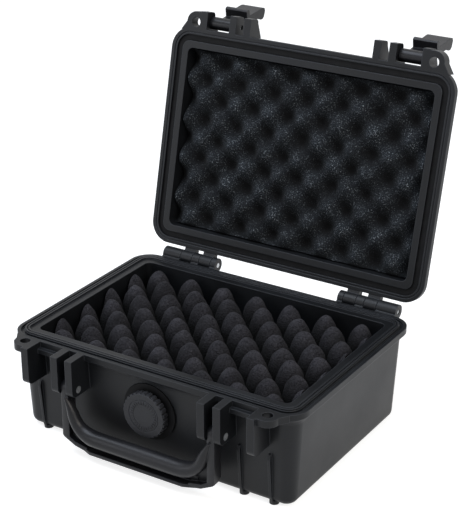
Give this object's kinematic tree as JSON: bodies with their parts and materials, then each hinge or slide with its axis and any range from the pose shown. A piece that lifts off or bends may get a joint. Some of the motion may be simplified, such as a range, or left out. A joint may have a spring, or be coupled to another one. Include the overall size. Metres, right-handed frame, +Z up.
{
  "type": "microphone case",
  "caption": "Small watertight hard case for a microphone: hinged lid, egg-crate foam in lid and base, lever latches, folding handle and a round pressure knob.",
  "frame": {"origin": "middle of the flat underside of the base; the small feet reach 1.5 mm below it", "axes": "+X across the width to the right as seen from the front, -Y out of the front with the latches and the handle, +Z up"},
  "size_m": [0.207, 0.2509, 0.2275],
  "materials": {
    "shell": "matte",
    "lever": "satin",
    "seal_rubber": "matte",
    "foam": "matte",
    "steel": "satin"
  },
  "bodies": {
    "base": {"base_shell": "shell", "base_foam": "foam", "base_pad": "foam", "hinge_pin_left": "steel", "hinge_pin_right": "steel", "handle_pin_left": "steel", "handle_pin_right": "steel", "valve_body": "seal_rubber", "valve_nut": "lever"},
    "lid": {"lid_shell": "shell", "lid_gasket": "seal_rubber", "lid_foam": "foam", "latch_pin_left": "steel", "latch_pin_right": "steel"},
    "latch_left": {"latch_left": "lever"},
    "latch_right": {"latch_right": "lever"},
    "handle": {"handle": "lever"},
    "valve_seal": {"valve_seal": "seal_rubber"},
    "valve_knob": {"valve_knob": "lever"}
  },
  "joints": [
    {"name": "lid_hinge", "type": "hinge", "parent": "base", "child": "lid", "pos_m": [0, 0.0803, 0.065], "axis": [1, 0, 0], "range_deg": [0, 103]},
    {"name": "latch_left_hinge", "type": "hinge", "parent": "lid", "child": "latch_left", "pos_m": [-0.0694, 0.1237, 0.21744], "axis": [1, 0, 0], "range_deg": [0, 160]},
    {"name": "latch_right_hinge", "type": "hinge", "parent": "lid", "child": "latch_right", "pos_m": [0.0694, 0.1237, 0.21744], "axis": [1, 0, 0], "range_deg": [0, 160]},
    {"name": "handle_hinge", "type": "hinge", "parent": "base", "child": "handle", "pos_m": [0, -0.08025, 0.0442], "axis": [-1, 0, 0], "range_deg": [0, 90]},
    {"name": "valve_slide", "type": "slide", "parent": "base", "child": "valve_seal", "axis": [0, -1, 0], "range_m": [0, 0.001]},
    {"name": "knob_turn", "type": "hinge", "parent": "valve_seal", "child": "valve_knob", "pos_m": [0, -0.072, 0.0375], "axis": [0, -1, 0], "range_deg": [0, 180]}
  ],
  "couplings": [
    {"joint": "valve_slide", "follows": "knob_turn", "m_per_rad": 0.000318}
  ]
}
